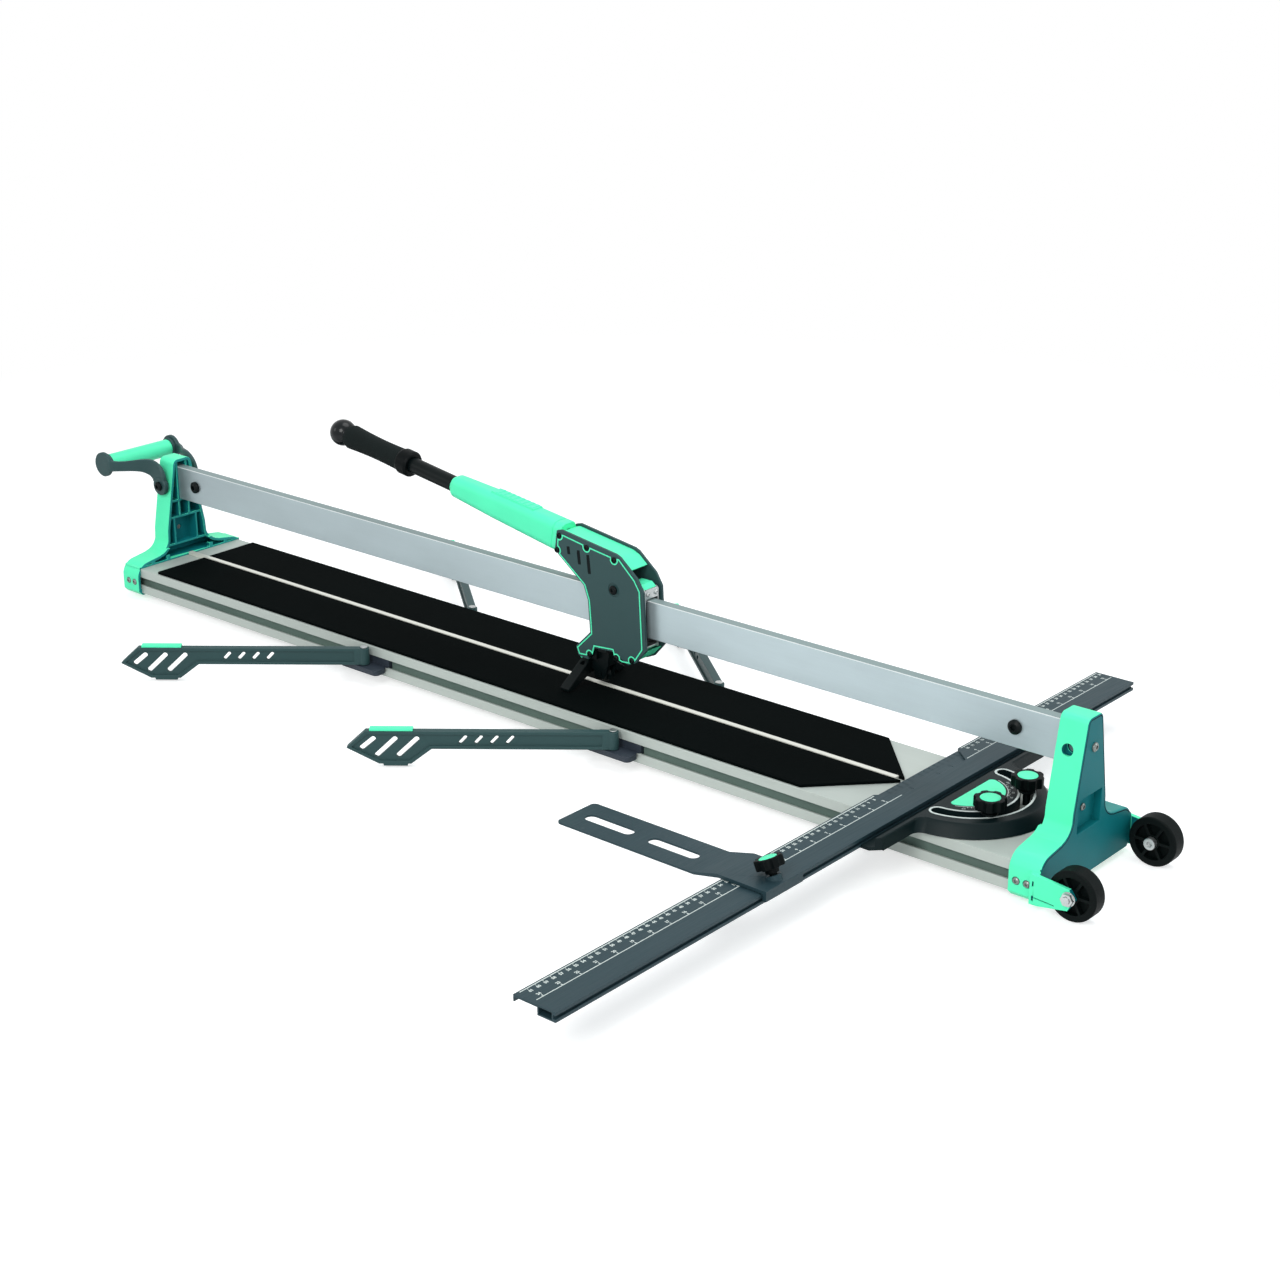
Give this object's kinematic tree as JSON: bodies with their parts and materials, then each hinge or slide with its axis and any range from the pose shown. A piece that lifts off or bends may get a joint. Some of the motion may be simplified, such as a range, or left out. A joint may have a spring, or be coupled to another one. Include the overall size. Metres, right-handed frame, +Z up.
{
  "type": "tile cutter",
  "caption": "Manual tile cutter: hollow bed, flat rail on two brackets, lever head with scoring wheel and breaking foot, swivelling fence, stop, swing-out supports, carry handle and wheels.",
  "frame": {"origin": "centre of the underside of the middle rubber foot strip, on the floor, below the cut line at mid-bed", "axes": "+X along the bed towards the fence and the transport wheels, +Y across the bed to the far side, +Z up from the floor"},
  "size_m": [1.6125, 1.02, 0.2974],
  "materials": {
    "bed_aluminium": "satin extruded",
    "strip_aluminium": "bright",
    "mat_rubber": "matt",
    "foot_rubber": "matt",
    "mint_cast": "satin powder coat",
    "mint_plastic": "satin moulded",
    "teal_paint": "satin powder coat",
    "slate_aluminium": "satin anodised",
    "dark_cast": "satin powder coat",
    "rail_steel": "brushed along its length",
    "zinc_steel": "zinc plated",
    "black_steel": "satin black",
    "black_plastic": "fine grained",
    "grip_foam": "soft foam",
    "ball_plastic": "polished",
    "wheel_plastic": "fine grained",
    "block_plastic": "fine grained"
  },
  "bodies": {
    "base": {"base_extrusion": "bed_aluminium", "groove_rails": "bed_aluminium", "centre_strip": "strip_aluminium", "mats": "mat_rubber", "foot_strips": "foot_rubber", "bracket_left": "mint_cast", "bracket_right": "mint_cast", "bracket_screws": "zinc_steel", "rail": "rail_steel", "rail_stop_bolts": "black_steel", "axle_bolts": "zinc_steel", "arm_blocks": "block_plastic", "arm_pins": "zinc_steel", "guide_pivot_pin": "zinc_steel", "knob_studs": "zinc_steel", "handle_bolts": "black_steel"},
    "wheel_front": {"wheel_front": "wheel_plastic"},
    "wheel_back": {"wheel_back": "wheel_plastic"},
    "carry_handle": {"handle_arms": "teal_paint", "carry_grip": "mint_plastic"},
    "arm_fl": {"support_arm_fl": "teal_paint", "arm_pad_fl": "mint_plastic"},
    "arm_fr": {"support_arm_fr": "teal_paint", "arm_pad_fr": "mint_plastic"},
    "arm_bl": {"support_arm_bl": "teal_paint", "arm_pad_bl": "mint_plastic"},
    "arm_br": {"support_arm_br": "teal_paint", "arm_pad_br": "mint_plastic"},
    "carriage": {"frame_plates": "zinc_steel", "guide_block": "mint_plastic", "guide_pads": "black_plastic", "roller_pins": "zinc_steel", "head_pivot_bolt": "black_steel"},
    "roller_left": {"roller_left": "zinc_steel"},
    "roller_right": {"roller_right": "zinc_steel"},
    "lever": {"head_plate_front": "teal_paint", "head_plate_back": "teal_paint", "lever_block": "mint_plastic", "lower_core": "mint_plastic", "plate_screws": "black_steel", "lever_sleeve": "mint_plastic", "lever_tube": "black_steel", "hand_grip": "grip_foam", "grip_collar": "black_plastic", "grip_ball": "ball_plastic", "wheel_holder": "black_steel", "foot_mount": "mint_plastic", "holder_pins": "zinc_steel"},
    "scoring_wheel": {"scoring_wheel": "zinc_steel"},
    "breaker_foot": {"breaker_foot": "black_steel"},
    "guide": {"ruler": "slate_aluminium", "protractor": "dark_cast", "protractor_inlay": "mint_plastic"},
    "clamp_knob_front": {"clamp_knob_front": "black_plastic", "clamp_cap_front": "mint_plastic"},
    "clamp_knob_back": {"clamp_knob_back": "black_plastic", "clamp_cap_back": "mint_plastic"},
    "stop": {"stop_bar": "slate_aluminium"},
    "stop_knob": {"stop_knob": "black_plastic", "stop_cap": "mint_plastic"}
  },
  "joints": [
    {"name": "wheel_front_spin", "type": "hinge", "parent": "base", "child": "wheel_front", "pos_m": [0.7695, -0.0814, 0.0281], "axis": [0, 1, 0], "continuous": true},
    {"name": "wheel_back_spin", "type": "hinge", "parent": "base", "child": "wheel_back", "pos_m": [0.7695, 0.0814, 0.0281], "axis": [0, 1, 0], "continuous": true},
    {"name": "carry_handle_hinge", "type": "hinge", "parent": "base", "child": "carry_handle", "pos_m": [-0.715, 0, 0.148], "axis": [0, 1, 0], "range_deg": [-70, 85]},
    {"name": "arm_fl_swing", "type": "hinge", "parent": "base", "child": "arm_fl", "pos_m": [-0.24, -0.097, 0.034], "axis": [0, 0, 1], "range_deg": [-38, 50]},
    {"name": "arm_fr_swing", "type": "hinge", "parent": "base", "child": "arm_fr", "pos_m": [0.174, -0.097, 0.034], "axis": [0, 0, 1], "range_deg": [-38, 50]},
    {"name": "arm_bl_swing", "type": "hinge", "parent": "base", "child": "arm_bl", "pos_m": [-0.24, 0.097, 0.034], "axis": [0, 0, 1], "range_deg": [-50, 38]},
    {"name": "arm_br_swing", "type": "hinge", "parent": "base", "child": "arm_br", "pos_m": [0.174, 0.097, 0.034], "axis": [0, 0, 1], "range_deg": [-50, 38]},
    {"name": "carriage_slide", "type": "slide", "parent": "base", "child": "carriage", "axis": [1, 0, 0], "range_m": [-0.72, 0.36]},
    {"name": "roller_left_spin", "type": "hinge", "parent": "carriage", "child": "roller_left", "pos_m": [0.088, 0, 0.18125], "axis": [0, 1, 0], "continuous": true},
    {"name": "roller_right_spin", "type": "hinge", "parent": "carriage", "child": "roller_right", "pos_m": [0.136, 0, 0.18125], "axis": [0, 1, 0], "continuous": true},
    {"name": "lever_hinge", "type": "hinge", "parent": "carriage", "child": "lever", "pos_m": [0.107, 0, 0.1795], "axis": [0, 1, 0], "range_deg": [0, 22]},
    {"name": "scoring_wheel_spin", "type": "hinge", "parent": "lever", "child": "scoring_wheel", "pos_m": [0.076, 0, 0.063], "axis": [0, 1, 0], "continuous": true},
    {"name": "breaker_foot_rock", "type": "hinge", "parent": "lever", "child": "breaker_foot", "pos_m": [0.0575, 0, 0.075], "axis": [0, 1, 0], "range_deg": [-6, 6]},
    {"name": "guide_swivel", "type": "hinge", "parent": "base", "child": "guide", "pos_m": [0.586, 0, 0.05], "axis": [0, 0, 1], "range_deg": [-45, 45]},
    {"name": "clamp_knob_front_turn", "type": "hinge", "parent": "base", "child": "clamp_knob_front", "pos_m": [0.63843, -0.03671, 0.07], "axis": [0, 0, 1], "continuous": true},
    {"name": "clamp_knob_back_turn", "type": "hinge", "parent": "base", "child": "clamp_knob_back", "pos_m": [0.63843, 0.03671, 0.07], "axis": [0, 0, 1], "continuous": true},
    {"name": "stop_slide", "type": "slide", "parent": "guide", "child": "stop", "axis": [0, 1, 0], "range_m": [-0.285, 0.095]},
    {"name": "stop_knob_turn", "type": "hinge", "parent": "stop", "child": "stop_knob", "pos_m": [0.559, -0.3, 0.0614], "axis": [-0.4067, 0, 0.9135], "continuous": true}
  ],
  "couplings": [
    {"joint": "roller_left_spin", "follows": "carriage_slide", "rad_per_m": 125},
    {"joint": "roller_right_spin", "follows": "carriage_slide", "rad_per_m": 125}
  ]
}
